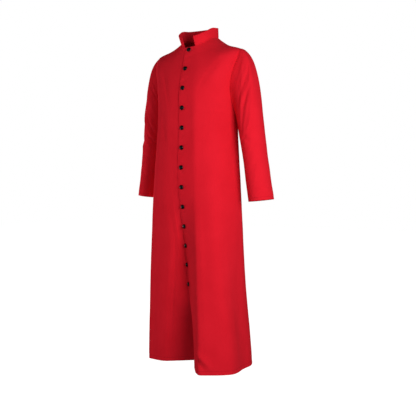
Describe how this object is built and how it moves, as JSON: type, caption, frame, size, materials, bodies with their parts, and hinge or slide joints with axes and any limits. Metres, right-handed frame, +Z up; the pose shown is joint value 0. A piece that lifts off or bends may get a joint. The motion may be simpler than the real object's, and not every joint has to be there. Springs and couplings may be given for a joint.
{
  "type": "cassock",
  "caption": "Long single-breasted cassock with a notched stand collar, plain long set-in sleeves, a buttoned front and a flared skirt open at the hem.",
  "frame": {"origin": "middle of the neck opening, level with the points where neck and shoulder meet, where the garment hangs on the wearer", "axes": "+Z up along the garment, -Y the way the wearer faces, +X to the wearer's left"},
  "size_m": [0.65, 0.4021, 1.3802],
  "materials": {
    "cloth": "satin",
    "buttons": "gloss"
  },
  "bodies": {
    "root": {"front_left": "cloth", "front_right": "cloth", "back": "cloth", "sleeve_left": "cloth", "sleeve_right": "cloth", "collar": "cloth", "button_01": "buttons", "button_02": "buttons", "button_03": "buttons", "button_04": "buttons", "button_05": "buttons", "button_06": "buttons", "button_07": "buttons", "button_08": "buttons", "button_09": "buttons", "button_10": "buttons", "button_11": "buttons", "button_12": "buttons", "button_13": "buttons"}
  },
  "joints": []
}
